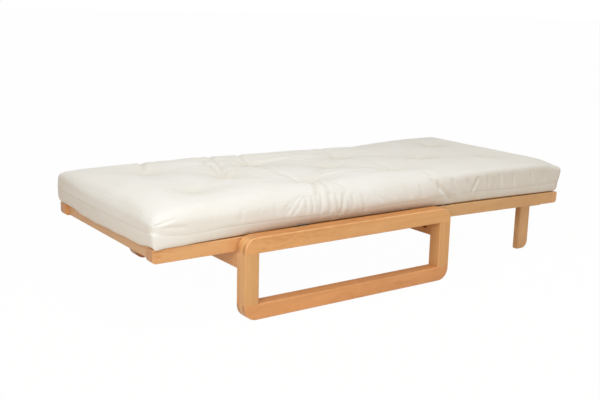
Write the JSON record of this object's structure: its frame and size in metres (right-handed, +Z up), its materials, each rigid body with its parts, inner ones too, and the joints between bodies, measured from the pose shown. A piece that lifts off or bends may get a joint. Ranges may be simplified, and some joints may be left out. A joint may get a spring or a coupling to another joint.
{
  "type": "sofa bed",
  "caption": "Single timber folding bed with loop-shaped legs, a slatted deck in three hinged sections, fold-in end legs and a tufted cotton futon.",
  "frame": {"origin": "on the floor under the middle of the bed's bounding box", "axes": "+Z up, +X towards the foot extension, the way a sitter faces when it is a chair; +Y to the sitter's left"},
  "size_m": [1.9498, 0.924, 0.4213],
  "materials": {
    "frame_timber": "oiled",
    "slat_pine": "sawn",
    "steel": "zinc plated",
    "calico": "unbleached calico"
  },
  "bodies": {
    "base": {"back_hinge_fixed_leaves": "steel", "back_hinge_pins": "steel", "back_stretcher": "frame_timber", "extension_hinge_fixed_leaves": "steel", "extension_hinge_pins": "steel", "front_stretcher": "frame_timber", "futon_back_fold": "calico", "futon_extension_fold": "calico", "futon_seat": "calico", "left_loop_back_post": "frame_timber", "left_loop_bottom_bar": "frame_timber", "left_loop_front_post": "frame_timber", "left_loop_top_bar": "frame_timber", "left_seat_rail": "frame_timber", "right_loop_back_post": "frame_timber", "right_loop_bottom_bar": "frame_timber", "right_loop_front_post": "frame_timber", "right_loop_top_bar": "frame_timber", "right_seat_rail": "frame_timber", "seat_back_bar": "frame_timber", "seat_front_bar": "frame_timber", "seat_rail_bolts": "steel", "seat_rail_spacers": "steel", "seat_slat_1": "slat_pine", "seat_slat_2": "slat_pine", "seat_slat_3": "slat_pine", "seat_slat_4": "slat_pine", "seat_slat_5": "slat_pine", "seat_slat_ledges": "slat_pine", "stretcher_nuts": "steel", "stretcher_studs": "steel"},
    "back": {"back_end_bar": "frame_timber", "back_hinge_bar": "frame_timber", "back_hinge_moving_leaves": "steel", "back_slat_1": "slat_pine", "back_slat_2": "slat_pine", "back_slat_3": "slat_pine", "back_slat_4": "slat_pine", "back_slat_ledges": "slat_pine", "futon_back": "calico", "left_back_rail": "frame_timber", "right_back_rail": "frame_timber"},
    "extension": {"extension_end_bar": "frame_timber", "extension_hinge_bar": "frame_timber", "extension_hinge_moving_leaves": "steel", "extension_slat_1": "slat_pine", "extension_slat_2": "slat_pine", "extension_slat_3": "slat_pine", "extension_slat_4": "slat_pine", "extension_slat_5": "slat_pine", "extension_slat_ledges": "slat_pine", "futon_extension": "calico", "left_extension_rail": "frame_timber", "leg_hanger_blocks": "slat_pine", "leg_pivot_pins": "steel", "right_extension_rail": "frame_timber"},
    "legs": {"left_leg": "frame_timber", "leg_cross_bar": "frame_timber", "right_leg": "frame_timber"}
  },
  "joints": [
    {"name": "back_lift", "type": "hinge", "parent": "base", "child": "back", "pos_m": [-0.385, 0, 0.283], "axis": [0, 1, 0], "range_deg": [0, 70], "deforming": ["futon_back_fold"]},
    {"name": "extension_lift", "type": "hinge", "parent": "base", "child": "extension", "pos_m": [0.295, 0, 0.283], "axis": [0, -1, 0], "range_deg": [0, 90], "deforming": ["futon_extension_fold"]},
    {"name": "legs_fold", "type": "hinge", "parent": "extension", "child": "legs", "pos_m": [0.88937, 0, 0.21858], "axis": [0, 1, 0], "range_deg": [0, 90]}
  ]
}
